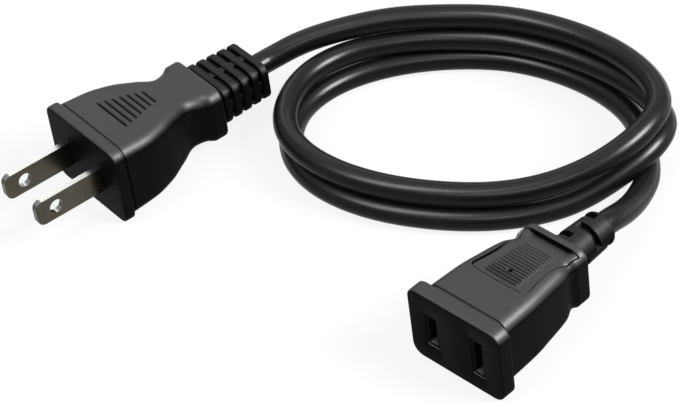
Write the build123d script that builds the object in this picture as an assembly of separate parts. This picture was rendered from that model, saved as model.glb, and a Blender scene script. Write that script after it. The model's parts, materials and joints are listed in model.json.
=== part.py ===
from build123d import *
import math
import os

os.makedirs("parts", exist_ok=True)

# Short two-pole extension cord in millimetres, lying on a table at Z = 0.
# Each moulded end is drawn along its own X axis: contact face at X = 0, cord leaving towards +X, Z up.
# Seen from the front of a face, its left pole is at +Y and its right pole at -Y.

# Contact system, the same at both ends
pole_spacing = 12.7
left, right = 1, -1

# Plug blades, with a crimp barrel for the wire behind each
blade_width = 6.35
blade_thickness = 1.5
blade_reach = 18.0
blade_tip_round = 1.9
blade_hole = 3.4
blade_hole_from_tip = 5.2

# Crimps and wires inside both ends
barrel_outside = 3.2
barrel_length = 5.6
strand_diameter = 1.9
core_diameter = 2.5
core_gap = 0.3
neck_height = 2.4
neck_length = 1.6

# Plug: front flange, waisted body, rear collar
plug_flange_width = 27.6
plug_flange_height = 20.0
plug_flange_thickness = 2.6
flange_corner = 2.8
flange_edge = 0.5
plug_front_width, plug_front_height = 26.2, 19.1
plug_shoulder_run, plug_shoulder_width, plug_shoulder_height = 6.6, 25.3, 18.2
plug_taper_run, plug_taper_width, plug_taper_height = 6.0, 22.2, 17.5
plug_neck_run, plug_neck_width, plug_neck_height = 5.0, 17.6, 16.3
plug_waist_run, plug_waist_width, plug_waist_height = 4.4, 14.5, 14.1
plug_flare_run, plug_flare_width, plug_flare_height = 3.2, 17.1, 13.2
plug_rise_run, plug_collar_width, plug_collar_height = 2.0, 19.6, 13.8
plug_collar_run = 3.0
body_corner = 3.0
body_sections = 14
collar_edge = 0.7

# Plug grip: fine lines cut across the top and the bottom, longest at the front
grip_count = 7
grip_from_flange = 6.4
grip_pitch = 1.68
grip_line_width = 0.4
grip_line_depth = 0.3
grip_front_length = 11.8
grip_rear_length = 5.4

# Plug strain relief: five ribs on a flat core, joined by small tabs
relief_rib_count = 5
relief_rib_pitch = 2.85
relief_rib_thickness = 1.75
relief_front_width, relief_front_height = 15.7, 10.3
relief_rear_width, relief_rear_height = 14.4, 9.8
relief_rib_corner = 2.6
relief_rib_chamfer = 0.25
relief_groove_depth = 1.1
relief_tab_width = 1.9
relief_tab_drop = 0.45

# Plug inner bridge that holds the blades
bridge_cover = 1.0
bridge_length = 7.0
bridge_height = 10.0
bridge_side = 2.2
bridge_corner = 0.9
plug_barrel_offset = 4.9

# Socket: front flange, tapering body, rear collar
socket_flange_width = 24.8
socket_flange_height = 18.5
socket_flange_thickness = 3.6
socket_front_width, socket_front_height = 21.6, 17.0
socket_middle_run, socket_middle_width, socket_middle_height = 8.4, 20.8, 16.6
socket_taper_run, socket_taper_width, socket_taper_height = 7.0, 19.2, 16.0
socket_neck_run, socket_neck_width, socket_neck_height = 5.0, 17.8, 15.3
socket_waist_run, socket_waist_width, socket_waist_height = 3.5, 15.8, 13.3
socket_rise_run, socket_collar_width, socket_collar_height = 2.0, 16.9, 14.4
socket_collar_run = 2.9

# Socket slots: the left one is short, the right one tall, each in a bevelled frame
slot_width = 2.0
slot_heights = {left: 7.0, right: 8.4}
slot_bevel = 0.7

# Socket grip: a shallow panel with fine ribs, above and below
panel_from_flange = 9.8
panel_front_half = 7.5
panel_waist_half = 6.6
panel_rear_half = 7.9
panel_bow = 0.5
panel_corner = 1.1
panel_depth = 0.35
panel_rib_count = 14
panel_rib_pitch = 0.94
panel_rib_first = 0.9
panel_rib_width = 0.42
panel_rib_height = 0.26
panel_rib_root = 0.12
panel_rib_length = 9.4

# Socket strain relief: a round sleeve cut by arc slots that change sides, a long one between short ones
sleeve_length = 13.4
sleeve_front_diameter = 9.5
sleeve_rear_diameter = 8.2
sleeve_end_chamfer = 0.6
sleeve_slot_pitch = 3.9
sleeve_slot_first = 2.9
sleeve_slot_width = 1.6
sleeve_slot_wall = 0.45
sleeve_slot_start = 4.0
sleeve_short_slot_end, sleeve_long_slot_end = 92.0, 105.0
sleeve_slot_count = 3

# Socket inner carrier and spring contacts
carrier_cover = 3.2
carrier_front_width, carrier_rear_width = 18.0, 17.2
carrier_front_height, carrier_rear_height = 12.4, 12.0
carrier_corner = 1.0
carrier_rear_wall = 1.3
chamber_depth = 16.0
chamber_width = 3.5
chamber_margin = 0.15
contact_metal = 0.45
contact_mouth, contact_pinch, contact_web = 3.2, 2.0, 2.5
contact_pinch_at = 4.2
contact_height = 5.6
socket_barrel_offset = 4.4

# Cord and the layout of the three on the table
cord_diameter = 5.6
layer_gap = 0.4
jacket_grip = 2.4
plug_face_at, plug_heading = (-46.27, 26.18), 33.0
socket_face_at, socket_heading = (27.71, -48.48), 39.6

# Oval coil of two stacked turns: half sizes at the cord's centre line, end radius, turn of its long axis
coil_at = (40.31, 25.42)
coil_half_length = 42.0
coil_half_width = 27.5
coil_end_radius = 20.0
coil_turn = -18.2
coil_chamfer = 1.6
coil_opens_at = 66.0
coil_starts_at = -80.0
top_strand_from = 102.0

# Fall of the strands over the coil's open side, as shares of one layer, one for each corner of the route
crossing_fall = (0.0, 0.0, 0.0, 1.0)

# Free cord from the plug's exit up to the coil's top, and from under the coil to the socket's exit.
# A bend may use up to run_share of each run beside it, or the end share of a strand's first and last run.
plug_lead_run, socket_lead_run, coil_lead_run = 10.0, 8.6, 8.0
run_share = 0.45
lead_end_share, crossover_end_share = 0.45, 0.9
plug_lead = [(14.96, 59.0, 15.0)]
socket_lead = [(80.2, 21.75, 2.8), (79.6, 6.45, 2.8), (76.8, -3.25, 3.2)]


def across(at):
    """Plane across an end's axis, with its own x along Y and its own y along Z."""
    return Plane(origin=(at, 0, 0), x_dir=(0, 1, 0), z_dir=(1, 0, 0))


def station(at, width, height, corner):
    return across(at) * RectangleRounded(width, height, corner)


def slab(start, end, width, height, corner):
    return extrude(station(start, width, height, corner), end - start)


def bar(start, end, y_middle, y_size, z_middle, z_size):
    middle = ((start + end) / 2, y_middle, z_middle)
    return Pos(*middle) * Box(end - start, y_size, z_size)


def rod(start, end, diameter, y=0.0):
    return extrude(across(start) * Pos(y, 0) * Circle(diameter / 2), end - start)


def top_of(solid, at):
    """Height of the solid's top on its middle line."""
    reach = solid.bounding_box().max.Z + 1
    return (solid & Line((at, 0, 0), (at, 0, reach))).bounding_box().max.Z


def both_faces(tool):
    return tool + mirror(tool, Plane.XY)


def flange(width, height, thickness):
    plate = slab(0, thickness, width, height, flange_corner)
    rims = plate.faces().sort_by(Axis.X)
    return chamfer(rims[0].edges() + rims[-1].edges(), flange_edge)


def running_stations(start, first, runs):
    """Sections one after another: the first at the start, then each a run behind the last."""
    places = [(start, *first)]
    for run, width, height in runs:
        places.append((places[-1][0] + run, width, height))
    return places


def flowing_size(places, sizes, at):
    """Size between the named sections, on a curve that never passes a named size."""
    steps = [(s1 - s0) / (p1 - p0) for p0, p1, s0, s1 in zip(places, places[1:], sizes, sizes[1:])]
    inner = [2 * a * b / (a + b) if a * b > 0 else 0.0 for a, b in zip(steps, steps[1:])]
    slopes = [steps[0]] + inner + [steps[-1]]
    i = max(k for k in range(len(places) - 1) if places[k] <= at or k == 0)
    run = places[i + 1] - places[i]
    t = min(1.0, (at - places[i]) / run)
    start = (1 + 2 * t) * (1 - t) ** 2 * sizes[i] + t * (1 - t) ** 2 * run * slopes[i]
    end = t**2 * (3 - 2 * t) * sizes[i + 1] + t**2 * (t - 1) * run * slopes[i + 1]
    return start + end


def moulded_body(stations):
    """Body skinned through evenly spaced rounded sections, with the collar's rear rim broken."""
    places, widths, heights = zip(*stations)
    sections = []
    for i in range(body_sections):
        at = places[0] + i / (body_sections - 1) * (places[-1] - places[0])
        width = flowing_size(places, widths, at)
        height = flowing_size(places, heights, at)
        sections.append(station(at, width, height, body_corner))
    body = loft(sections, ruled=True)
    return chamfer(body.faces().sort_by(Axis.X)[-1].edges(), collar_edge)


# Plug, from the front flange to the end of the strain relief
plug_stations = running_stations(
    plug_flange_thickness - flange_edge,
    (plug_front_width, plug_front_height),
    [
        (plug_shoulder_run + flange_edge, plug_shoulder_width, plug_shoulder_height),
        (plug_taper_run, plug_taper_width, plug_taper_height),
        (plug_neck_run, plug_neck_width, plug_neck_height),
        (plug_waist_run, plug_waist_width, plug_waist_height),
        (plug_flare_run, plug_flare_width, plug_flare_height),
        (plug_rise_run, plug_collar_width, plug_collar_height),
        (plug_collar_run, plug_collar_width, plug_collar_height),
    ],
)
plug_collar_back = plug_stations[-1][0]
plug_end = plug_collar_back + relief_rib_count * relief_rib_pitch

bridge_start = plug_flange_thickness + bridge_cover
bridge_end = bridge_start + bridge_length
bridge_width = pole_spacing + blade_thickness + 2 * bridge_side
plug_barrel_start = bridge_end + neck_length
plug_barrel_end = plug_barrel_start + barrel_length
plug_jacket_end = plug_collar_back - jacket_grip


def pole(side):
    return side * pole_spacing / 2


def plug_blade(side):
    """Flat blade with rounded tip and one hole, a bent neck and a crimp barrel."""
    outline = Pos(-blade_reach, 0) * Rectangle(
        blade_reach + bridge_end, blade_width, align=(Align.MIN, Align.CENTER)
    )
    outline = fillet(outline.vertices().group_by(Axis.X)[0], blade_tip_round)
    outline -= Pos(-blade_reach + blade_hole_from_tip, 0) * Circle(blade_hole / 2)
    sheet = Plane(origin=(0, pole(side), 0), x_dir=(1, 0, 0), z_dir=(0, -1, 0))
    blade = extrude(sheet * outline, blade_thickness / 2, both=True)
    inner = plug_barrel_offset - barrel_outside / 2
    outer = pole_spacing / 2 + blade_thickness / 2
    neck = bar(bridge_end, plug_barrel_start, side * (inner + outer) / 2, outer - inner, 0, neck_height)
    barrel = rod(plug_barrel_start, plug_barrel_end, barrel_outside, side * plug_barrel_offset)
    barrel -= rod(plug_barrel_start, plug_barrel_end, strand_diameter, side * plug_barrel_offset)
    return blade + neck + barrel


def strand(start, offset):
    """Bare wire end inside a crimp barrel."""
    return rod(start, start + barrel_length, strand_diameter, offset)


def route_radii(points, end_share):
    """Largest arc at each corner: every arc may use a share of the runs beside it."""
    radii = []
    for i in range(1, len(points) - 1):
        before = Vector(points[i]) - Vector(points[i - 1])
        after = Vector(points[i + 1]) - Vector(points[i])
        first = end_share if i == 1 else run_share
        last = end_share if i == len(points) - 2 else run_share
        reach = min(first * before.length, last * after.length)
        radii.append(reach / math.tan(math.radians(before.get_angle(after)) / 2))
    return radii


def round_route(points, end_share):
    return FilletPolyline(*points, radius=route_radii(points, end_share))


def along(path, diameter):
    return sweep(Plane(origin=path @ 0, z_dir=path % 0) * Circle(diameter / 2), path=path)


def core(barrel_end, offset, jacket_end, side):
    """Insulated wire that slants from a crimp to its place in the end of the jacket."""
    in_cord = side * (core_diameter + core_gap) / 2
    slant = Vector(jacket_end - barrel_end, in_cord - offset, 0)
    return extrude(across(barrel_end) * Pos(offset, 0) * Circle(core_diameter / 2), slant.length, dir=slant)


def plug_bridge(blades):
    block = slab(bridge_start, bridge_end, bridge_width, bridge_height, bridge_corner)
    return block - blades


def plug_strain_relief():
    """Ribbed tail: each rib follows the taper, with a tab to the rib before it on every face."""
    tail_length = plug_end - plug_collar_back
    relief = slab(
        plug_collar_back,
        plug_end,
        relief_rear_width - 2 * relief_groove_depth,
        relief_rear_height - 2 * relief_groove_depth,
        relief_rib_corner - relief_groove_depth / 2,
    )
    for i in range(relief_rib_count):
        rib_end = plug_collar_back + (i + 1) * relief_rib_pitch
        share = (rib_end - plug_collar_back) / tail_length
        width = relief_front_width + share * (relief_rear_width - relief_front_width)
        height = relief_front_height + share * (relief_rear_height - relief_front_height)
        rib = slab(rib_end - relief_rib_thickness, rib_end, width, height, relief_rib_corner)
        rims = rib.faces().sort_by(Axis.X)
        rib = chamfer(rims[0].edges() + rims[-1].edges(), relief_rib_chamfer)
        tab_start = rib_end - relief_rib_pitch
        tab_end = rib_end - relief_rib_thickness / 2
        flat_tab = bar(tab_start, tab_end, 0, relief_tab_width, 0, height - 2 * relief_tab_drop)
        side_tab = bar(tab_start, tab_end, 0, width - 2 * relief_tab_drop, 0, relief_tab_width)
        relief += rib + flat_tab + side_tab
    return relief


def plug_grip(body):
    """Thin cutters for the grip lines, shorter towards the waist."""
    lines = Part()
    for i in range(grip_count):
        at = plug_flange_thickness + grip_from_flange + i * grip_pitch
        length = grip_front_length + i / (grip_count - 1) * (grip_rear_length - grip_front_length)
        floor = top_of(body, at) - grip_line_depth
        roof = plug_flange_height / 2
        lines += bar(
            at - grip_line_width / 2, at + grip_line_width / 2, 0, length, (floor + roof) / 2, roof - floor
        )
    return both_faces(lines)


def plug_body(inside):
    body = moulded_body(plug_stations)
    body -= plug_grip(body)
    body += flange(plug_flange_width, plug_flange_height, plug_flange_thickness)
    body += plug_strain_relief()
    return body - inside


# Socket, from the front flange to the end of the sleeve
socket_stations = running_stations(
    socket_flange_thickness - flange_edge,
    (socket_front_width, socket_front_height),
    [
        (socket_middle_run + flange_edge, socket_middle_width, socket_middle_height),
        (socket_taper_run, socket_taper_width, socket_taper_height),
        (socket_neck_run, socket_neck_width, socket_neck_height),
        (socket_waist_run, socket_waist_width, socket_waist_height),
        (socket_rise_run, socket_collar_width, socket_collar_height),
        (socket_collar_run, socket_collar_width, socket_collar_height),
    ],
)
socket_collar_front = socket_stations[5][0]
socket_collar_back = socket_stations[6][0]
socket_end = socket_collar_back + sleeve_length

chamber_end = carrier_cover + chamber_depth
carrier_end = chamber_end + carrier_rear_wall
socket_barrel_start = carrier_end
socket_barrel_end = socket_barrel_start + barrel_length
socket_jacket_end = socket_collar_back + jacket_grip


def socket_contact(side):
    """Spring contact: two leaves that pinch the blade, a neck through the carrier and a crimp barrel."""
    mouth, pinch, web = contact_mouth / 2, contact_pinch / 2, contact_web / 2
    mouth_at = carrier_cover + chamber_margin
    pinch_at = carrier_cover + contact_pinch_at
    leaf = [(mouth_at, mouth), (pinch_at, pinch), (chamber_end, web)]
    outside = leaf + [(x, -y) for x, y in reversed(leaf)]
    hollow = [(mouth_at, mouth - contact_metal), (pinch_at, pinch - contact_metal),
              (chamber_end - contact_metal, web - contact_metal)]
    inside = hollow + [(x, -y) for x, y in reversed(hollow)]
    profile = make_face(Polyline(*outside, close=True)) - make_face(Polyline(*inside, close=True))
    clip = Pos(0, pole(side), 0) * extrude(profile, contact_height / 2, both=True)
    inner = socket_barrel_offset - barrel_outside / 2
    outer = pole_spacing / 2 + web
    neck = bar(chamber_end, carrier_end, side * (inner + outer) / 2, outer - inner, 0, neck_height)
    barrel = rod(socket_barrel_start, socket_barrel_end, barrel_outside, side * socket_barrel_offset)
    barrel -= rod(socket_barrel_start, socket_barrel_end, strand_diameter, side * socket_barrel_offset)
    return clip + neck + barrel


def chamber(side):
    height = slot_heights[side] + 2 * chamber_margin
    return bar(carrier_cover, chamber_end, pole(side), chamber_width, 0, height)


def carrier_block():
    front = station(carrier_cover, carrier_front_width, carrier_front_height, carrier_corner)
    rear = station(carrier_end, carrier_rear_width, carrier_rear_height, carrier_corner)
    return loft([front, rear])


def socket_carrier(contacts):
    return carrier_block() - [chamber(left), chamber(right)] - contacts


def slot(side):
    """Blade slot through the face, with its bevelled frame."""
    height = slot_heights[side]
    opening = bar(0, carrier_cover, pole(side), slot_width, 0, height)
    frame = across(0) * Pos(pole(side), 0) * Rectangle(slot_width + 2 * slot_bevel, height + 2 * slot_bevel)
    return opening + extrude(frame, slot_bevel, taper=45)


def panel_outline(start, end):
    """Plan of the grip panel: bowed front, hollow sides, open to the collar."""
    middle = (start + end) / 2
    corner_at = start + panel_bow
    sides = []
    for side in (left, right):
        corner_spot = (corner_at, side * panel_front_half)
        waist_spot = (middle, side * panel_waist_half)
        rear_spot = (end, side * panel_rear_half)
        sides.append(ThreePointArc(corner_spot, waist_spot, rear_spot))
    front = ThreePointArc((corner_at, panel_front_half), (start, 0), (corner_at, -panel_front_half))
    back = Line((end, panel_rear_half), (end, -panel_rear_half))
    face = make_face([front, back] + sides)
    return fillet(face.vertices().group_by(Axis.X)[0], panel_corner)


def socket_grip(body):
    """The recess to cut and the ribs to add, above and below."""
    start = socket_flange_thickness + panel_from_flange
    prism = extrude(panel_outline(start, socket_collar_front), socket_flange_height)
    recess = prism - Pos(0, 0, -panel_depth) * body
    ribs = Part()
    for i in range(panel_rib_count):
        at = start + panel_bow + panel_rib_first + i * panel_rib_pitch
        floor = top_of(body, at) - panel_depth
        middle = floor + (panel_rib_height - panel_rib_root) / 2
        size = panel_rib_height + panel_rib_root
        ribs += bar(at - panel_rib_width / 2, at + panel_rib_width / 2, 0, panel_rib_length, middle, size)
    return both_faces(recess), both_faces(ribs)


def sleeve_slot(index):
    """Arc slot in the sleeve, in one quarter above and the opposite quarter below."""
    at = socket_collar_back + sleeve_slot_first + index * sleeve_slot_pitch
    floor_radius = cord_diameter / 2 + sleeve_slot_wall
    open_radius = sleeve_front_diameter
    on_right = index % 2 == 1
    end = sleeve_long_slot_end if on_right else sleeve_short_slot_end
    arc = end - sleeve_slot_start
    start = 180 - end if on_right else sleeve_slot_start
    first = CenterArc((0, 0), open_radius, start, arc)
    second = CenterArc((0, 0), floor_radius, start, arc)
    face = make_face([first, second, Line(first @ 0, second @ 0), Line(first @ 1, second @ 1)])
    cut = extrude(across(at) * face, sleeve_slot_width)
    return cut + Rot(180, 0, 0) * cut


def socket_sleeve():
    base = across(socket_collar_back) * Circle(sleeve_front_diameter / 2)
    tip = across(socket_end) * Circle(sleeve_rear_diameter / 2)
    sleeve = loft([base, tip])
    sleeve = chamfer(sleeve.edges().group_by(Axis.X)[-1], sleeve_end_chamfer)
    return sleeve - [sleeve_slot(index) for index in range(sleeve_slot_count)]


def socket_body(inside):
    body = moulded_body(socket_stations)
    recess, ribs = socket_grip(body)
    body = body - recess + ribs
    body += flange(socket_flange_width, socket_flange_height, socket_flange_thickness)
    body += socket_sleeve()
    return body - [slot(left), slot(right)] - inside


# Cord on the table
plug_place = Pos(*plug_face_at, plug_flange_height / 2) * Rot(0, 0, plug_heading)
socket_place = Pos(*socket_face_at, socket_flange_height / 2) * Rot(0, 0, socket_heading)
plug_exit = (plug_place * Pos(plug_end, 0, 0)).position
socket_exit = (socket_place * Pos(socket_end, 0, 0)).position
plug_jacket_at = (plug_place * Pos(plug_jacket_end, 0, 0)).position
socket_jacket_at = (socket_place * Pos(socket_jacket_end, 0, 0)).position

layer_pitch = cord_diameter + layer_gap
layers = [cord_diameter / 2 + i * layer_pitch for i in range(3)]
coil_side_radius = (
    coil_half_length**2 + coil_half_width**2 - 2 * coil_half_length * coil_end_radius
) / (2 * (coil_half_width - coil_end_radius))
coil_corner = math.degrees(
    math.atan2(coil_side_radius - coil_half_width, coil_half_length - coil_end_radius)
)
coil_place = Pos(*coil_at, 0) * Rot(0, 0, coil_turn)
end_offset = coil_half_length - coil_end_radius
side_offset = coil_side_radius - coil_half_width


def oval_arcs():
    """The oval's four arcs, clockwise from the back: centre, radius, first and last direction."""
    return {
        "back": ((0, -side_offset), coil_side_radius, 180 - coil_corner, coil_corner),
        "right": ((end_offset, 0), coil_end_radius, coil_corner, -coil_corner),
        "front": ((0, side_offset), coil_side_radius, -coil_corner, coil_corner - 180),
        "left": ((-end_offset, 0), coil_end_radius, coil_corner - 180, -180 - coil_corner),
    }


def on_oval(name, direction, height, stretch=1.0):
    (x, y), radius, _, _ = oval_arcs()[name]
    angle = math.radians(direction)
    spot = (x + stretch * radius * math.cos(angle), y + stretch * radius * math.sin(angle), height)
    return (coil_place * Pos(*spot)).position


def corners_on(name, first, last, count):
    """Corners of a route that lies on one arc of the oval, just outside it."""
    step = (first - last) / count
    stretch = 1 / math.cos(math.radians(step / 2))
    return [(name, first - (i + 0.5) * step, stretch) for i in range(count)]


def coil():
    """Outer shape of the two full turns, from the front round the left end to the back."""
    low, high = layers[0], layers[1]
    section = Pos(0, (low + high) / 2) * Rectangle(cord_diameter, high - low + cord_diameter)
    section = chamfer(section.vertices(), coil_chamfer)
    spans = oval_arcs()
    ranges = [
        ("front", coil_starts_at, spans["front"][3]),
        ("left", spans["left"][2], spans["left"][3]),
        ("back", spans["back"][2], coil_opens_at),
    ]
    ring = Part()
    for name, first, last in ranges:
        (x, y), radius, _, _ = spans[name]
        hub = Axis((x, y, 0), (0, 0, 1))
        angle = math.radians(first)
        outward = (math.cos(angle), math.sin(angle), 0)
        side = Plane(
            origin=(x + radius * outward[0], y + radius * outward[1], 0),
            x_dir=outward,
            z_dir=(outward[1], -outward[0], 0),
        )
        ring += revolve(side * section, axis=hub, revolution_arc=last - first)
    return coil_place * ring


open_side = (
    corners_on("back", coil_opens_at, coil_corner, 1)
    + corners_on("right", coil_corner, -coil_corner, 2)
    + corners_on("front", -coil_corner, coil_starts_at, 1)
)
top_strand = corners_on("back", top_strand_from, coil_opens_at, 1)


def crossing(start_height):
    """Corners over the coil's open side, coming down one layer."""
    return [
        on_oval(name, direction, start_height - fall * layer_pitch, stretch)
        for (name, direction, stretch), fall in zip(open_side, crossing_fall)
    ]


def crossover_route():
    start = on_oval("back", coil_opens_at, layers[1])
    end = on_oval("front", coil_starts_at, layers[0])
    return [start] + crossing(layers[1]) + [end]


def plug_lead_route():
    leaving = (plug_place * Pos(plug_end + plug_lead_run, 0, 0)).position
    over_back = [on_oval(name, direction, layers[2], stretch) for name, direction, stretch in top_strand]
    end = on_oval("front", coil_starts_at, layers[1])
    return [plug_exit, leaving] + plug_lead + over_back + crossing(layers[2]) + [end]


def socket_lead_route():
    start = on_oval("back", coil_opens_at, layers[0])
    heading = math.radians(coil_opens_at - 90 + coil_turn)
    leaving = start + coil_lead_run * Vector(math.cos(heading), math.sin(heading), 0)
    arriving = (socket_place * Pos(socket_end + socket_lead_run, 0, 0)).position
    return [start, leaving] + socket_lead + [arriving, socket_exit]


def cord_strand(name, route, end_share):
    """Tube along a route, with its bends and its volume printed."""
    path = round_route(route, end_share)
    tube = along(path, cord_diameter)
    plain_volume = path.length * math.pi * cord_diameter**2 / 4
    print(name, "radii", [round(r, 1) for r in route_radii(route, end_share)])
    print(name, "length", round(path.length, 1), "volume share", round(tube.volume / plain_volume, 4))
    return tube


def inside_moulding(jacket_at, exit_at):
    return along(Line(jacket_at, exit_at), cord_diameter)


plug_lead_tube = cord_strand("cord_plug_lead", plug_lead_route(), lead_end_share)
socket_lead_tube = cord_strand("cord_socket_lead", socket_lead_route(), lead_end_share)
cord_nodes = {
    "cord_coil": coil(),
    "cord_crossover": cord_strand("cord_crossover", crossover_route(), crossover_end_share),
    "cord_plug_lead": plug_lead_tube + inside_moulding(plug_jacket_at, plug_exit),
    "cord_socket_lead": socket_lead_tube + inside_moulding(socket_jacket_at, socket_exit),
}

# Plug pieces
sides = {"left": left, "right": right}
plug_blades = {name: plug_blade(side) for name, side in sides.items()}
plug_nodes = {}
for name, side in sides.items():
    offset = side * plug_barrel_offset
    plug_nodes[f"plug_blade_{name}"] = plug_blades[name]
    plug_nodes[f"plug_wire_{name}"] = strand(plug_barrel_start, offset)
    plug_nodes[f"plug_core_{name}"] = core(plug_barrel_end, offset, plug_jacket_end, side)
plug_nodes["plug_bridge"] = plug_bridge(list(plug_blades.values()))
plug_cord_bore = rod(plug_jacket_end, plug_end, cord_diameter)
plug_nodes["plug_body"] = plug_body(list(plug_nodes.values()) + [plug_cord_bore])

# Socket pieces
socket_contacts = {name: socket_contact(side) for name, side in sides.items()}
socket_nodes = {}
for name, side in sides.items():
    offset = side * socket_barrel_offset
    socket_nodes[f"socket_contact_{name}"] = socket_contacts[name]
    socket_nodes[f"socket_wire_{name}"] = strand(socket_barrel_start, offset)
    socket_nodes[f"socket_core_{name}"] = core(socket_barrel_end, offset, socket_jacket_end, side)
socket_nodes["socket_carrier"] = socket_carrier(list(socket_contacts.values()))
socket_cord_bore = rod(socket_jacket_end, socket_end, cord_diameter)
socket_nodes["socket_body"] = socket_body(
    [piece for node, piece in socket_nodes.items() if node != "socket_carrier"]
    + [carrier_block(), socket_cord_bore]
)

nodes = dict(cord_nodes)
nodes.update({name: plug_place * piece for name, piece in plug_nodes.items()})
nodes.update({name: socket_place * piece for name, piece in socket_nodes.items()})
for name, piece in nodes.items():
    export_step(piece, f"parts/{name}.step")
    print(name, "solids", len(piece.solids()), "volume", round(piece.volume, 1))
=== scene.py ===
import bmesh
import bpy
import json
import math
from mathutils import Matrix, Quaternion, Vector


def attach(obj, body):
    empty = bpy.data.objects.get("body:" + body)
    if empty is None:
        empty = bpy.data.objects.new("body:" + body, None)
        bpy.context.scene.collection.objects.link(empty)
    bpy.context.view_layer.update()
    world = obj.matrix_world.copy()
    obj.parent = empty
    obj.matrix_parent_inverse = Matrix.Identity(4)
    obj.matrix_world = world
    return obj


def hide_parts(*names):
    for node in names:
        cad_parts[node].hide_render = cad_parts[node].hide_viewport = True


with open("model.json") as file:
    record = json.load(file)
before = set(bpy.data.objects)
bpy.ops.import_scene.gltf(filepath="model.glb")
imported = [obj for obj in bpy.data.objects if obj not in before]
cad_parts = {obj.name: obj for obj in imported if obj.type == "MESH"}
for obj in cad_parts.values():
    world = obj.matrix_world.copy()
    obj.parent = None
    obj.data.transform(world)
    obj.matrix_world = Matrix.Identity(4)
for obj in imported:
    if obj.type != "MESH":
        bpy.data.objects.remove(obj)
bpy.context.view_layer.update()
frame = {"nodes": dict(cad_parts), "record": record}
print("frame loaded,", len(frame["nodes"]), "nodes")

mm = 0.001    # a millimetre in metres
squareOn = 0.99    # share of a direction along an axis from which a side counts as square to it


# helpers for the mouldings, in millimetres until a piece is placed

def addObject(name, data):
    added = bpy.data.objects.new(name, data)
    bpy.context.scene.collection.objects.link(added)
    return added


def placement(at, heading, height):
    turn = Matrix.Rotation(math.radians(heading), 4, "Z")
    return Matrix.Scale(mm, 4) @ Matrix.Translation((*at, height)) @ turn


def onAxis(piece, at):
    # point on the middle line of a plug or socket, measured from its front face
    turn = math.radians(piece["heading"])
    x, y = piece["at"]
    return x + at * math.cos(turn), y + at * math.sin(turn), piece["height"]


def clamp(x):
    return min(1.0, max(0.0, x))


def smooth(low, high, x):
    t = clamp((x - low) / (high - low))
    return t * t * (3 - 2 * t)


def hump(x):
    # rounded rise from -1 to 1
    return 0.5 + 0.5 * math.cos(math.pi * x)


def between(pair, share):
    return pair[0] + share * (pair[1] - pair[0])


def steps(low, high, size):
    count = max(1, round((high - low) / size))
    return [low + (high - low) * i / count for i in range(count + 1)]


def flow(places, sizes, at):
    # curve through the sizes that never passes one of them
    rises = [(b - a) / (q - p) for p, q, a, b in zip(places, places[1:], sizes, sizes[1:])]
    inner = [2 * a * b / (a + b) if a * b > 0 else 0.0 for a, b in zip(rises, rises[1:])]
    slopes = [rises[0]] + inner + [rises[-1]]
    i = max(k for k in range(len(places) - 1) if places[k] <= at or k == 0)
    run = places[i + 1] - places[i]
    t = clamp((at - places[i]) / run)
    first = (1 + 2 * t) * (1 - t) ** 2 * sizes[i] + t * (1 - t) ** 2 * run * slopes[i]
    return first + t**2 * (3 - 2 * t) * sizes[i + 1] + t**2 * (t - 1) * run * slopes[i + 1]


def bodySize(s, at):
    return flow(s["places"], s["halfWidths"], at), flow(s["places"], s["halfHeights"], at)


def upperCurve(halfWidth, halfHeight, corner, t):
    # point and outward direction on a section's upper half, t along it from the middle
    flat = halfWidth - corner
    side = 1 if t >= 0 else -1
    bend = max(0.0, abs(t) - flat) / corner
    if bend == 0:
        return t, halfHeight, 0.0, 1.0
    ny, nz = side * math.sin(bend), math.cos(bend)
    return side * flat + corner * ny, halfHeight - corner + corner * nz, ny, nz


def sectionRing(halfWidth, halfHeight, corner, edge, grid):
    # points around a rounded section, each with its outward direction and its distance past the
    # grip's side edge, which two close columns follow
    flat = halfWidth - corner
    reach = flat + corner * math.pi / 2
    gap, seam = grid["edgeGap"], grid["seam"]
    line = edge if edge <= flat else flat + corner * math.asin(min(1.0, (edge - flat) / corner))
    line = min(line, reach - 3 * gap)    # leaves room for the columns outside it
    outer = [reach + (line + gap - reach) * i / grid["outer"] for i in range(grid["outer"])]
    half = outer + [line + gap, line]
    low = line - gap
    inner = [low - 2 * low * i / grid["inner"] for i in range(grid["inner"] + 1)]
    along = half + inner + [-t for t in reversed(half)]
    upper = [upperCurve(halfWidth, halfHeight, corner, t) + (abs(t) - line,) for t in along]
    drop = halfHeight - corner
    falls = [drop + (2 * seam - drop) * i / grid["side"] for i in range(1, grid["side"] + 1)] + [seam, 0.0]
    heights = falls + [-z for z in reversed(falls[:-1])]
    right = [(-halfWidth, z, -1.0, 0.0, reach) for z in heights]
    lower = [(y, -z, ny, -nz, past) for y, z, ny, nz, past in reversed(upper)]
    left = [(halfWidth, -z, 1.0, 0.0, reach) for z in heights]
    return upper + right + lower + left


def frontRound(low, edge, count):
    # quarter round at the front of a raised band: place and drop below its top
    turns = [math.pi / 2 * i / count for i in range(count + 1)]
    return [(low + edge * (1 - math.cos(a)), edge * (1 - math.sin(a))) for a in turns]


def rearRound(high, edge, count):
    return [(high - at, drop) for at, drop in reversed(frontRound(0, edge, count))]


def roundedRun(low, high, edge, count):
    return frontRound(low, edge, count) + rearRound(high, edge, count)


def joinRings(bm, rings):
    for first, second in zip(rings, rings[1:]):
        for i in range(len(first)):
            bm.faces.new((first[i - 1], first[i], second[i], second[i - 1]))


def loopEdges(bm, loop):
    return [bm.edges.get((loop[i - 1], loop[i])) for i in range(len(loop))]


def finishMesh(bm, name, s, sharp=50):
    bmesh.ops.recalc_face_normals(bm, faces=bm.faces[:])
    mesh = bpy.data.meshes.new(name)
    bm.to_mesh(mesh)
    bm.free()
    mesh.transform(placement(s["at"], s["heading"], s["height"]))
    for face in mesh.polygons:
        face.use_smooth = True
    mesh.set_sharp_from_angle(angle=math.radians(sharp))
    return addObject(name, mesh)


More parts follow.
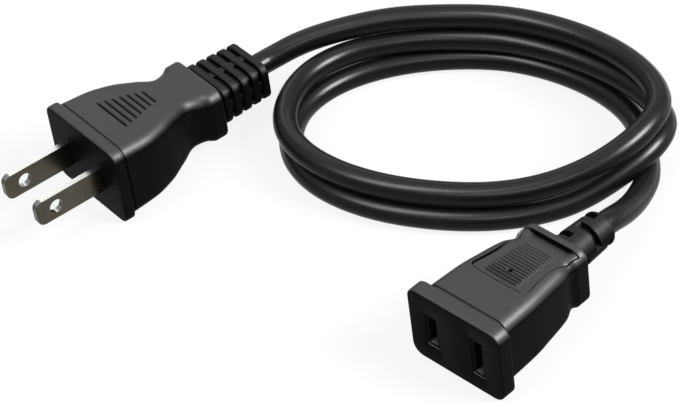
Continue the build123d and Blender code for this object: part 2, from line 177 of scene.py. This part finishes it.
# plug moulding

plugSet = {
    "at": (-46.27, 26.18), "heading": 33.0, "height": 10.0,
    "flange": (13.8, 10.0, 2.6, 2.8), "flangeEdge": 0.4,    # half width, half height, thickness, corner
    "places": (2.1, 9.2, 15.2, 20.2, 24.6, 27.8, 29.8, 32.8),    # sections, from the front face
    "halfWidths": (13.2, 12.9, 11.35, 9.0, 7.35, 8.3, 9.4, 9.4),
    "halfHeights": (9.55, 9.15, 8.8, 8.15, 7.05, 6.6, 6.85, 6.85),
    "corner": 3.0, "collarEdge": 0.7,
    "gap": ((0.0, 0.3), (0.6, 0.3), (0.72, 0.12), (0.8, 0.0)),    # place behind the flange, depth
    "gripCount": 7, "gripFirst": 9.0, "gripPitch": 1.68, "gripWidth": 0.75, "gripDepth": 0.6,
    "gripHalves": (5.9, 2.7),    # half length of the first and last grip line
    "lipHeight": 0.12, "lipAt": 1.6, "lipHalf": 0.6,    # lip behind each line, in half line widths
    "ribCount": 5, "ribPitch": 2.85, "ribThick": 1.75, "ribEdge": 0.32, "ribCorner": 2.6,
    "ribFront": (7.85, 5.15), "ribRear": (7.2, 4.9),    # half width, half height
    "grooveDepth": 1.1, "grooveFoot": 0.02, "tabHalf": 0.95, "tabDrop": 0.45,
    "seamRise": 0.025,
    "grid": {"outer": 12, "inner": 34, "side": 14, "edgeGap": 0.12, "seam": 0.09},
    "runs": (0.4, 0.0625, 0.25), "fineMargin": 0.6,    # row spacing before, over and behind the grip
    "flangeRows": 5, "collarRows": 6, "ribRows": 4,
}


def buildPlug(s):
    bm = bmesh.new()
    relief = bm.verts.layers.float.new("relief")
    wide, tall, thick, flangeCorner = s["flange"]
    gripLines = [s["gripFirst"] + i * s["gripPitch"] for i in range(s["gripCount"])]
    gap, seam = s["grid"]["edgeGap"], s["grid"]["seam"]
    rings = []

    def gripEdge(at):
        share = clamp((at - gripLines[0]) / (gripLines[-1] - gripLines[0]))
        return between(s["gripHalves"], share)

    def groove(at):
        behind = min((at - line for line in gripLines), key=abs) / (s["gripWidth"] / 2)
        if abs(behind) < 1:
            return s["gripDepth"] * hump(behind)
        lip = (behind - s["lipAt"]) / s["lipHalf"]
        return -s["lipHeight"] * hump(lip) if abs(lip) < 1 else 0.0

    def onTab(y, z, ny, nz):
        across = abs(nz) > squareOn and abs(y) < s["tabHalf"]
        return across or abs(ny) > squareOn and abs(z) < s["tabHalf"]

    def ring(at, halfWidth, halfHeight, corner, inset=0.0, tabs=False, body=False):
        points = []
        for y, z, ny, nz, past in sectionRing(halfWidth, halfHeight, corner, gripEdge(at), s["grid"]):
            sink = inset
            if tabs and onTab(y, z, ny, nz):
                sink = min(sink, s["tabDrop"])
            if body:
                sink += groove(at) * (1 - smooth(-gap, gap, past))
                if abs(ny) > squareOn and abs(z) < seam / 2:
                    sink -= s["seamRise"]
            point = bm.verts.new((at, y - ny * sink, z - nz * sink))
            point[relief] = 1.0 if tabs else 0.0
            points.append(point)
        rings.append(points)

    def bodyRing(at, inset=0.0):
        ring(at, *bodySize(s, at), s["corner"], inset, body=True)

    for at, drop in roundedRun(0, thick, s["flangeEdge"], s["flangeRows"]):
        ring(at, wide, tall, flangeCorner, drop)
    for behind, sink in s["gap"]:    # fine gap where the body meets the flange
        bodyRing(thick + behind, sink)

    bodyStart, bodyEnd = thick + s["gap"][-1][0], s["places"][-1]
    fineFrom, fineTo = gripLines[0] - s["fineMargin"], gripLines[-1] + s["fineMargin"]
    before, fine, after = s["runs"]
    for at in (steps(bodyStart, fineFrom, before)[1:] + steps(fineFrom, fineTo, fine)[1:]
               + steps(fineTo, bodyEnd - s["collarEdge"], after)[1:]):
        bodyRing(at)
    for at, drop in rearRound(bodyEnd, s["collarEdge"], s["collarRows"])[1:]:
        bodyRing(at, drop)

    # ribs of the strain relief, joined by tabs in the grooves between them
    for i in range(s["ribCount"]):
        start = bodyEnd + i * s["ribPitch"]
        high = bodyEnd + (i + 1) * s["ribPitch"]
        low = high - s["ribThick"]
        share = (i + 1) / s["ribCount"]
        size = [between(pair, share) for pair in zip(s["ribFront"], s["ribRear"])]
        for at in (start + s["grooveFoot"], low - s["grooveFoot"]):
            ring(at, *size, s["ribCorner"], s["grooveDepth"], tabs=True)
        for at, drop in roundedRun(low, high, s["ribEdge"], s["ribRows"]):
            ring(at, *size, s["ribCorner"], drop, tabs=True)
    joinRings(bm, rings)
    bm.faces.new(rings[0])
    bm.faces.new(rings[-1])
    return finishMesh(bm, "plugMoulding", s)


plugMoulding = buildPlug(plugSet)
print("plug moulding", len(plugMoulding.data.polygons), "faces")


# socket moulding

socketSet = {
    "at": (27.71, -48.48), "heading": 39.6, "height": 9.25,
    "flange": (12.85, 9.25, 3.6, 2.8), "flangeEdge": 0.4,    # half width, half height, thickness, corner
    "places": (3.1, 12.0, 19.0, 24.0, 27.2, 29.0, 32.4),    # sections, from the front face
    "halfWidths": (11.0, 10.65, 9.85, 9.1, 7.95, 8.45, 8.45),
    "halfHeights": (8.5, 8.3, 8.0, 7.6, 7.1, 7.35, 7.35),
    "corner": 3.0, "collarEdge": 0.8,
    "gap": ((0.0, 0.35), (0.9, 0.35), (1.04, 0.14), (1.14, 0.0)),    # place behind the flange, depth
    "panelStart": 13.6, "panelEnd": 30.4, "panelDepth": 0.35, "panelRamp": 0.12, "panelCorner": 1.2,
    "panelHalves": (7.7, 6.6, 7.6),    # half width at its front, middle and rear
    "panelBow": 0.2, "bowGrows": (8.0, 12.5), "bowFades": (14.2, 18.0),    # bowed front edge
    "panelDips": 24.0, "panelLow": 6.15, "panelShallows": (4.2, 7.2),    # fall to the collar's step
    "grooveDepth": 0.65, "grooveWidth": 0.44,    # cut line round the panel
    "ribCount": 14, "ribFirst": 15.0, "ribPitch": 0.88, "ribWidth": 0.52, "ribHeight": 0.4,
    "ribHalves": (4.6, 4.0), "ribFade": 0.35, "ribFullness": 0.6,
    "gateAt": 17.6, "gateRadius": 0.6, "gateFloor": 0.75, "gateDepth": 0.9,    # moulding point
    "sleeveEnd": 45.8, "sleeveRadii": (4.75, 4.1), "sleeveEdge": 0.8, "sleeveRoot": 0.4,
    "slotCount": 3, "slotFirst": 35.3, "slotPitch": 3.9, "slotWidth": 1.6, "slotFloor": 2.95,
    "slotOuter": 0.05, "slotInner": 0.07, "arcRamp": 2,    # slope of a slot's walls and ends
    "shortArc": (4, 92), "longArc": (75, 178),
    "bladeSlots": ((6.35, 7.0), (-6.35, 8.4)), "bladeSlotWidth": 2.0,    # place across, height
    "bladeSlotCorner": 0.25, "bladeSlotDepth": 3.2,
    "bladeSlotFrame": (    # depth, growth all round
        (0.0, 0.85), (0.04, 0.79), (0.24, 0.75), (0.27, 0.14), (0.32, 0.05), (0.42, 0.0)),
    "seamRise": 0.025,
    "grid": {"outer": 11, "inner": 50, "side": 8, "edgeGap": 0.2, "seam": 0.09},
    "runs": (0.4, 0.08, 0.12), "fineMargins": (0.4, 0.5),    # row spacing before, over and behind the ribs
    "sleeveRun": 0.08, "flangeRows": 5, "collarRows": 6, "rootRows": 4, "sleeveRows": 8, "cornerRows": 4,
}


def buildSocket(s):
    bm = bmesh.new()
    relief = bm.verts.layers.float.new("relief")
    wide, tall, thick, flangeCorner = s["flange"]
    bodyEnd, panelStart, panelEnd = s["places"][-1], s["panelStart"], s["panelEnd"]
    panelPlaces = (panelStart + s["panelBow"], (panelStart + panelEnd) / 2, panelEnd)
    ribLines = [s["ribFirst"] + i * s["ribPitch"] for i in range(s["ribCount"])]
    gap, seam = s["grid"]["edgeGap"], s["grid"]["seam"]
    rings = []

    def panelEdge(at):
        half = flow(panelPlaces, s["panelHalves"], min(panelEnd, max(panelPlaces[0], at)))
        r = s["panelCorner"]
        return half - r + math.sqrt(r**2 - (r - min(r, max(0.0, at - panelStart)))**2)

    def panelDeep(at, y):
        # even depth at first, then a straight fall to the foot of the collar's step
        if at < s["panelDips"]:
            return s["panelDepth"]
        first = bodySize(s, s["panelDips"])[1] - s["panelDepth"]
        share = (at - s["panelDips"]) / (panelEnd - s["panelDips"])
        deep = bodySize(s, at)[1] - between((first, s["panelLow"]), share)
        return between((deep, s["panelDepth"]), smooth(*s["panelShallows"], abs(y)))

    def panelSink(at, y, past):
        ramp, lineHalf = s["panelRamp"], s["grooveWidth"] / 2
        ahead = smooth(panelStart - ramp, panelStart + ramp, at)
        behind = 1 - smooth(panelEnd - ramp, panelEnd + ramp, at)
        inside = 1 - smooth(-gap, gap, past)
        line = ahead * (1 - smooth(0, lineHalf, abs(past)))    # cut line along the sides
        if past < gap / 2:    # and across the front
            line = max(line, 1 - smooth(0, lineHalf, abs(at - panelStart)))
        return behind * (panelDeep(at, y) * ahead * inside + s["grooveDepth"] * line)

    def ribRise(at, y):
        near = min(abs(at - line) for line in ribLines) / (s["ribWidth"] / 2)
        if near >= 1:
            return 0.0
        share = clamp((at - ribLines[0]) / (ribLines[-1] - ribLines[0]))
        half = between(s["ribHalves"], share)
        ends = 1 - smooth(half - s["ribFade"], half + s["ribFade"], abs(y))
        return s["ribHeight"] * hump(near) ** s["ribFullness"] * ends

    def ring(at, halfWidth, halfHeight, corner, inset=0.0, body=False):
        points = []
        bow = s["panelBow"] * smooth(*s["bowGrows"], at) * (1 - smooth(*s["bowFades"], at))
        for y, z, ny, nz, past in sectionRing(halfWidth, halfHeight, corner, panelEdge(at), s["grid"]):
            sink, shift = inset, 0.0
            if body and abs(ny) < squareOn:
                sink += panelSink(at, y, past) - ribRise(at, y) * abs(nz)
                gate = math.hypot(at - s["gateAt"], y) / s["gateRadius"]
                sink += s["gateDepth"] * (1 - smooth(s["gateFloor"], 1.0, gate))
                shift = bow * (y / s["panelHalves"][0]) ** 2
            if body and abs(ny) > squareOn and abs(z) < seam / 2:
                sink -= s["seamRise"]
            points.append(bm.verts.new((at + shift, y - ny * sink, z - nz * sink)))
        rings.append(points)

    def bodyRing(at, inset=0.0):
        ring(at, *bodySize(s, at), s["corner"], inset, body=True)

    for at, drop in roundedRun(0, thick, s["flangeEdge"], s["flangeRows"]):
        ring(at, wide, tall, flangeCorner, drop)
    for behind, sink in s["gap"]:    # fine gap where the body meets the flange
        bodyRing(thick + behind, sink)
    bodyStart = thick + s["gap"][-1][0]
    fineFrom, fineTo = panelStart - s["fineMargins"][0], ribLines[-1] + s["fineMargins"][1]
    before, fine, after = s["runs"]
    for at in (steps(bodyStart, fineFrom, before)[1:] + steps(fineFrom, fineTo, fine)[1:]
               + steps(fineTo, bodyEnd - s["collarEdge"], after)[1:]):
        bodyRing(at)
    for at, drop in rearRound(bodyEnd, s["collarEdge"], s["collarRows"])[1:]:
        bodyRing(at, drop)

    # round sleeve behind the collar, with its arc slots
    angles = [math.atan2(v.co.z, v.co.y) for v in rings[-1]]

    def slotSink(at, degrees, radius):
        deep = 0.0
        outer, inner, ramp = s["slotOuter"], s["slotInner"], s["arcRamp"]
        turn = degrees % 180    # same cuts in the opposite quarter below
        for i in range(s["slotCount"]):
            low = s["slotFirst"] + i * s["slotPitch"]
            high = low + s["slotWidth"]
            along = smooth(low - outer, low + inner, at) * (1 - smooth(high - inner, high + outer, at))
            first, last = s["longArc"] if i % 2 else s["shortArc"]
            around = smooth(first - ramp, first + ramp, turn) * (1 - smooth(last - ramp, last + ramp, turn))
            deep = max(deep, along * around)
        return deep * (radius - s["slotFloor"])

    def sleeveRing(at, drop=0.0):
        radius = between(s["sleeveRadii"], (at - bodyEnd) / (s["sleeveEnd"] - bodyEnd)) - drop
        points = []
        for angle in angles:
            r = radius - slotSink(at, math.degrees(angle), radius)
            point = bm.verts.new((at, r * math.cos(angle), r * math.sin(angle)))
            point[relief] = 1.0
            points.append(point)
        rings.append(points)

    for at, drop in frontRound(bodyEnd, s["sleeveRoot"], s["rootRows"]):
        sleeveRing(at, -drop)
    for at in steps(bodyEnd + s["sleeveRoot"], s["sleeveEnd"] - s["sleeveEdge"], s["sleeveRun"])[1:]:
        sleeveRing(at)
    for at, drop in rearRound(s["sleeveEnd"], s["sleeveEdge"], s["sleeveRows"])[1:]:
        sleeveRing(at, drop)
    joinRings(bm, rings)
    bm.faces.new(rings[-1])

    # front face with the two framed slots
    def slotLoop(at, middle, halfY, halfZ, r):
        loop = []
        for sideY, sideZ, start in ((1, 1, 0), (-1, 1, 90), (-1, -1, 180), (1, -1, 270)):
            for k in range(s["cornerRows"] + 1):
                a = math.radians(start + 90 * k / s["cornerRows"])
                y = middle + sideY * (halfY - r) + r * math.cos(a)
                z = sideZ * (halfZ - r) + r * math.sin(a)
                loop.append(bm.verts.new((at, y, z)))
        return loop

    edges = loopEdges(bm, rings[0])
    for middle, height in s["bladeSlots"]:
        loops = []
        for at, grow in s["bladeSlotFrame"] + ((s["bladeSlotDepth"], 0.0),):
            halfY, halfZ = s["bladeSlotWidth"] / 2 + grow, height / 2 + grow
            loops.append(slotLoop(at, middle, halfY, halfZ, s["bladeSlotCorner"] + grow / 2))
        joinRings(bm, loops)
        edges += loopEdges(bm, loops[0])
    bmesh.ops.triangle_fill(bm, use_beauty=True, use_dissolve=False, edges=edges)
    return finishMesh(bm, "socketMoulding", s)


socketMoulding = buildSocket(socketSet)
print("socket moulding", len(socketMoulding.data.polygons), "faces")


# cord, one length from inside the plug to inside the socket

cordSet = {
    "diameter": 5.6, "length": 0.6,    # length in metres
    "coilAt": (40.31, 25.42), "turn": -18.5, "stepSize": 15,
    # layers from the table up: height, reach of the oval to the right, left, back and front,
    # then how full it is at the back right, front right, back left and front left
    "layers": (
        (2.8, 38.9, 41.2, 27.7, 28.7, 1.75, 2.04, 2.06, 2.15),
        (8.4, 44.2, 42.2, 27.7, 27.1, 1.64, 2.0, 2.34, 2.07),
        (14.1, 43.1, 41.6, 28.9, 27.0, 1.75, 1.93, 2.22, 1.95),
    ),
    "falls": ((12, 78), (371, 412)), "coilFrom": 104, "coilTo": -712,    # degrees along the coil
    "plugExit": 47.05, "plugRun": (-8.0, -3.0, 1.5, 5.5),    # places on the axis, from the exit
    "socketExit": 45.8, "socketRun": (2.0, -3.0, -8.0),
    "plugLead": ((6.0, 57.2, 11.9), (17.0, 57.9, 13.4), (27.5, 57.6, 14.2)),
    "socketLead": ((77.6, 8.0, 2.8), (76.5, 1.0, 2.8), (72.8, -6.4, 4.0), (69.0, -12.6, 6.4)),
    "smoothness": 10, "roundness": 8,
}


def buildCord(s):
    tilt = math.radians(s["turn"])
    stretch = 1 / math.cos(math.radians(s["stepSize"] / 2))    # the curve runs inside its points
    top = len(s["layers"]) - 1

    def coilPoint(turned):
        # place on the coil, which comes down a layer each time it passes the right end
        layer = top - sum(smooth(first, last, -turned) for first, last in s["falls"])
        lower = min(top - 1, int(layer))
        pairs = zip(s["layers"][lower], s["layers"][lower + 1])
        z, right, left, back, front, *fullness = [between(pair, layer - lower) for pair in pairs]
        angle = math.radians(turned)
        c, k = math.cos(angle), math.sin(angle)
        power = 2 / fullness[(0 if c > 0 else 2) + (0 if k > 0 else 1)]
        u = stretch * (right if c > 0 else left) * math.copysign(abs(c) ** power, c)
        v = stretch * (back if k > 0 else front) * math.copysign(abs(k) ** power, k)
        x = s["coilAt"][0] + u * math.cos(tilt) - v * math.sin(tilt)
        y = s["coilAt"][1] + u * math.sin(tilt) + v * math.cos(tilt)
        return x, y, z

    points = [onAxis(plugSet, s["plugExit"] + at) for at in s["plugRun"]]
    points += s["plugLead"]
    points += [coilPoint(turned) for turned in range(s["coilFrom"], s["coilTo"] - 1, -s["stepSize"])]
    points += s["socketLead"]
    points += [onAxis(socketSet, s["socketExit"] + at) for at in s["socketRun"]]

    curve = bpy.data.curves.new("cord", "CURVE")
    curve.dimensions = "3D"
    line = curve.splines.new("NURBS")
    line.points.add(len(points) - 1)
    for knot, (x, y, z) in zip(line.points, points):
        knot.co = (x * mm, y * mm, z * mm, 1.0)
    line.order_u = 3
    line.use_endpoint_u = True
    line.resolution_u = s["smoothness"]
    curve.bevel_depth = s["diameter"] / 2 * mm
    curve.bevel_resolution = s["roundness"]
    curve.use_fill_caps = True
    return addObject("cord", curve)


cord = buildCord(cordSet)
print("cord laid in", len(cord.data.splines[0].points), "points")


# finishes

finishes = {
    # moulding: tops and upper fillets painted lighter and shinier as painted light from above, sides left
    # near black; the strain reliefs get less of it, a painted shade
    "moulding": {
        "colour": (0.0025, 0.0025, 0.0027), "worn": (0.004, 0.004, 0.0043), "rough": (0.43, 0.51),
        "shine": 0.015, "paintedLight": (0.024, 0.024, 0.025), "paintedLightShine": 1.0, "paintedLightFrom": 0.25, "paintedLightTo": 0.75,
        "paintedLightOnRelief": 0.35, "grainScale": 2600, "cloudScale": 45, "bump": 0.45, "bumpDepth": 0.00008},
    # jacket: the upper side of the cord painted lighter and shinier, its lower side kept dull, a painted
    # shade against the floor's reflection
    "jacket": {
        "colour": (0.004, 0.004, 0.0043), "worn": (0.006, 0.006, 0.0064), "rough": (0.27, 0.34),
        "shine": 0.1, "paintedLight": (0.006, 0.006, 0.0064), "paintedLightShine": 0.55, "paintedLightFrom": 0.35, "paintedLightTo": 0.7,
        "grainScale": 1400, "cloudScale": 60, "bump": 0.12, "bumpDepth": 0.00008},
    # blade: up-facing edges painted near white, a painted highlight
    "blade": {
        "colour": (0.105, 0.094, 0.075), "worn": (0.06, 0.052, 0.039), "rough": (0.20, 0.28),
        "shine": 0.5, "paintedLight": (0.78, 0.77, 0.74), "paintedLightShine": 0.5, "paintedLightFrom": 0.5, "paintedLightTo": 0.8,
        "grainScale": 1800, "cloudScale": 160, "bump": 0.08, "bumpDepth": 0.00004, "metal": 1.0},
    "contact": {
        "colour": (0.72, 0.54, 0.24), "worn": (0.56, 0.39, 0.16), "rough": (0.25, 0.40),
        "grainScale": 1800, "cloudScale": 160, "bump": 0.08, "bumpDepth": 0.00004, "metal": 1.0},
    "wire": {
        "colour": (0.80, 0.40, 0.24), "worn": (0.60, 0.28, 0.15), "rough": (0.25, 0.40),
        "grainScale": 2200, "cloudScale": 240, "bump": 0.3, "bumpDepth": 0.0001, "metal": 1.0},
    "core": {
        "colour": (0.62, 0.62, 0.58), "worn": (0.52, 0.52, 0.48), "rough": (0.30, 0.42),
        "grainScale": 1500, "cloudScale": 120, "bump": 0.1, "bumpDepth": 0.00005},
    "insert": {
        "colour": (0.03, 0.03, 0.03), "worn": (0.05, 0.05, 0.05), "rough": (0.50, 0.62),
        "grainScale": 1500, "cloudScale": 90, "bump": 0.2, "bumpDepth": 0.00008},
}
grainDetail, cloudDetail = 4.0, 3.0


def startMaterial(name):
    material = bpy.data.materials.new(name)
    material.use_nodes = True
    return material, material.node_tree.nodes, material.node_tree.links


def addRange(nodes, links, value, low, high):
    spread = nodes.new("ShaderNodeMapRange")
    spread.inputs["To Min"].default_value = low
    spread.inputs["To Max"].default_value = high
    links.new(value, spread.inputs["Value"])
    return spread.outputs["Result"]


def addBlend(nodes, links, share, second):
    blend = nodes.new("ShaderNodeMix")
    blend.data_type = "RGBA"
    blend.inputs["B"].default_value = (*second, 1)
    links.new(share, blend.inputs["Factor"])
    return blend


def paintedLightShare(nodes, links, f):
    # share of painted light at a place: a lighter colour and more shine painted on what faces up, standing
    # in for light from above, and less of it on the strain reliefs so they keep a painted shade
    side = nodes.new("ShaderNodeNewGeometry")
    axes = nodes.new("ShaderNodeSeparateXYZ")
    links.new(side.outputs["Normal"], axes.inputs["Vector"])
    facing = nodes.new("ShaderNodeMapRange")
    facing.inputs["From Min"].default_value = f["paintedLightFrom"]
    facing.inputs["From Max"].default_value = f["paintedLightTo"]
    links.new(axes.outputs["Z"], facing.inputs["Value"])
    if "paintedLightOnRelief" not in f:
        return facing.outputs["Result"]
    relief = nodes.new("ShaderNodeAttribute")
    relief.attribute_name = "relief"
    share = nodes.new("ShaderNodeMath")
    share.operation = "MULTIPLY"
    links.new(facing.outputs["Result"], share.inputs[0])
    links.new(addRange(nodes, links, relief.outputs["Fac"], 1.0, f["paintedLightOnRelief"]), share.inputs[1])
    return share.outputs["Value"]


def buildFinish(name, f):
    material, nodes, links = startMaterial(name)
    shader = nodes["Principled BSDF"]
    place = nodes.new("ShaderNodeTexCoord")

    def noise(scale, detail):
        texture = nodes.new("ShaderNodeTexNoise")
        texture.inputs["Scale"].default_value = scale
        texture.inputs["Detail"].default_value = detail
        links.new(place.outputs["Object"], texture.inputs["Vector"])
        return texture.outputs["Fac"]

    grain, cloud = noise(f["grainScale"], grainDetail), noise(f["cloudScale"], cloudDetail)
    tone = addBlend(nodes, links, cloud, f["worn"])
    tone.inputs["A"].default_value = (*f["colour"], 1)
    # painted light: faces turned up get a lighter colour and more shine, a painted highlight on tops and
    # fillets
    if "paintedLight" in f:
        share = paintedLightShare(nodes, links, f)
        paintedLight = addBlend(nodes, links, share, f["paintedLight"])
        links.new(tone.outputs["Result"], paintedLight.inputs["A"])
        tone = paintedLight
        shine = addRange(nodes, links, share, f["shine"], f["paintedLightShine"])
        links.new(shine, shader.inputs["Specular IOR Level"])
    links.new(tone.outputs["Result"], shader.inputs["Base Color"])
    links.new(addRange(nodes, links, cloud, *f["rough"]), shader.inputs["Roughness"])
    bump = nodes.new("ShaderNodeBump")
    bump.inputs["Strength"].default_value = f["bump"]
    bump.inputs["Distance"].default_value = f["bumpDepth"]
    links.new(grain, bump.inputs["Height"])
    links.new(bump.outputs["Normal"], shader.inputs["Normal"])
    shader.inputs["Metallic"].default_value = f.get("metal", 0.0)
    return material


materials = {name: buildFinish(name, f) for name, f in finishes.items()}

for entry in frame["record"]["subparts"]:
    node = frame["nodes"][entry["node"]]
    node.data.materials.clear()
    node.data.materials.append(materials[entry["material_slot"]])
for piece, finish in ((plugMoulding, "moulding"), (socketMoulding, "moulding"), (cord, "jacket")):
    piece.data.materials.append(materials[finish])
    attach(piece, "root")
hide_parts("plug_body")
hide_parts("socket_body")
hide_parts("cord_coil", "cord_crossover", "cord_plug_lead", "cord_socket_lead")
print("finishes on", len(materials), "materials")


# floor, light and camera

floorSet = {"half": 4.0, "grey": 0.8, "rough": 0.9, "fibreScale": 900, "bump": 0.02, "white": 0.85}


def buildFloor(s):
    mesh = bpy.data.meshes.new("floor")
    h = s["half"]
    mesh.from_pydata([(-h, -h, 0), (h, -h, 0), (h, h, 0), (-h, h, 0)], [], [(0, 1, 2, 3)])
    material, nodes, links = startMaterial("paper")
    shader = nodes["Principled BSDF"]
    shader.inputs["Base Color"].default_value = (s["grey"], s["grey"], s["grey"], 1)
    shader.inputs["Roughness"].default_value = s["rough"]
    shader.inputs["Specular IOR Level"].default_value = 0.0
    fibre = nodes.new("ShaderNodeTexNoise")
    fibre.inputs["Scale"].default_value = s["fibreScale"]
    bump = nodes.new("ShaderNodeBump")
    bump.inputs["Strength"].default_value = s["bump"]
    links.new(fibre.outputs["Fac"], bump.inputs["Height"])
    links.new(bump.outputs["Normal"], shader.inputs["Normal"])

    # the camera and shiny surfaces see it almost white, with part of the shadow kept
    rays = nodes.new("ShaderNodeLightPath")
    seen = nodes.new("ShaderNodeMath")
    seen.operation = "MAXIMUM"
    links.new(rays.outputs["Is Camera Ray"], seen.inputs[0])
    links.new(rays.outputs["Is Glossy Ray"], seen.inputs[1])
    share = addRange(nodes, links, seen.outputs["Value"], 0.0, s["white"])
    white = nodes.new("ShaderNodeEmission")
    blend = nodes.new("ShaderNodeMixShader")
    links.new(share, blend.inputs["Fac"])
    links.new(shader.outputs["BSDF"], blend.inputs[1])
    links.new(white.outputs["Emission"], blend.inputs[2])
    links.new(blend.outputs["Shader"], nodes["Material Output"].inputs["Surface"])
    mesh.materials.append(material)
    return addObject("floor", mesh)


floor = buildFloor(floorSet)

lightSet = {    # all point at the middle of the object
    "over": {"at": (0.0, 0.3, 1.0), "size": (1.2, 0.6), "power": 0.9, "roll": 0},
    "left": {"at": (-0.46, -0.24, 0.85), "size": (0.34, 0.6), "power": 4.0, "roll": -20},
    "right": {"at": (0.80, -0.33, 0.68), "size": (0.46, 0.46), "power": 14.0, "roll": 0},
    "front": {"at": (-0.1, -0.9, 0.78), "size": (0.7, 0.16), "power": 1.6, "roll": 0},
    "back": {"at": (0.12, 0.95, 0.54), "size": (0.9, 0.16), "power": 0.42, "roll": 0},
    "edge": {"at": (-0.22, 0.86, 0.71), "size": (0.2, 0.16), "power": 0.2, "roll": 0},
}
roomLight = 0.25


def addLight(name, at, size, power, roll):
    data = bpy.data.lights.new(name, "AREA")
    data.shape = "RECTANGLE"
    data.size, data.size_y = size
    data.energy = power
    light = addObject(name, data)
    light.location = at
    turn = (-Vector(at)).to_track_quat("-Z", "Y") @ Quaternion((0, 0, 1), math.radians(roll))
    light.rotation_euler = turn.to_euler()


for name, light in lightSet.items():
    addLight(name, light["at"], light["size"], light["power"], light["roll"])
world = bpy.data.worlds.new("studio")
world.use_nodes = True
sky = world.node_tree.nodes["Background"]
sky.inputs["Color"].default_value = (1, 1, 1, 1)
sky.inputs["Strength"].default_value = roomLight
bpy.context.scene.world = world

cameraSet = {
    "aim": (8.81, 12.22, 0.0), "rise": 40.5, "roll": -8.5, "distance": 600.0,
    "lens": 142.62, "sensor": 36.0, "clip": (0.01, 20.0),
}


def placeCamera(c):
    rise, roll = math.radians(c["rise"]), math.radians(c["roll"])
    across, upward = Vector((1, 0, 0)), Vector((0, math.sin(rise), math.cos(rise)))
    back = Vector((0, -math.cos(rise), math.sin(rise)))
    right = across * math.cos(roll) + upward * math.sin(roll)
    up = upward * math.cos(roll) - across * math.sin(roll)
    data = bpy.data.cameras.new("camera")
    data.lens, data.sensor_width = c["lens"], c["sensor"]
    data.sensor_fit = "HORIZONTAL"
    data.clip_start, data.clip_end = c["clip"]
    camera = addObject("camera", data)
    turn = Matrix((right, up, back)).transposed().to_4x4()
    camera.matrix_world = Matrix.Translation((Vector(c["aim"]) + back * c["distance"]) * mm) @ turn
    bpy.context.scene.camera = camera


placeCamera(cameraSet)
bpy.context.scene.view_settings.view_transform = "Standard"
print("floor, light and camera set")
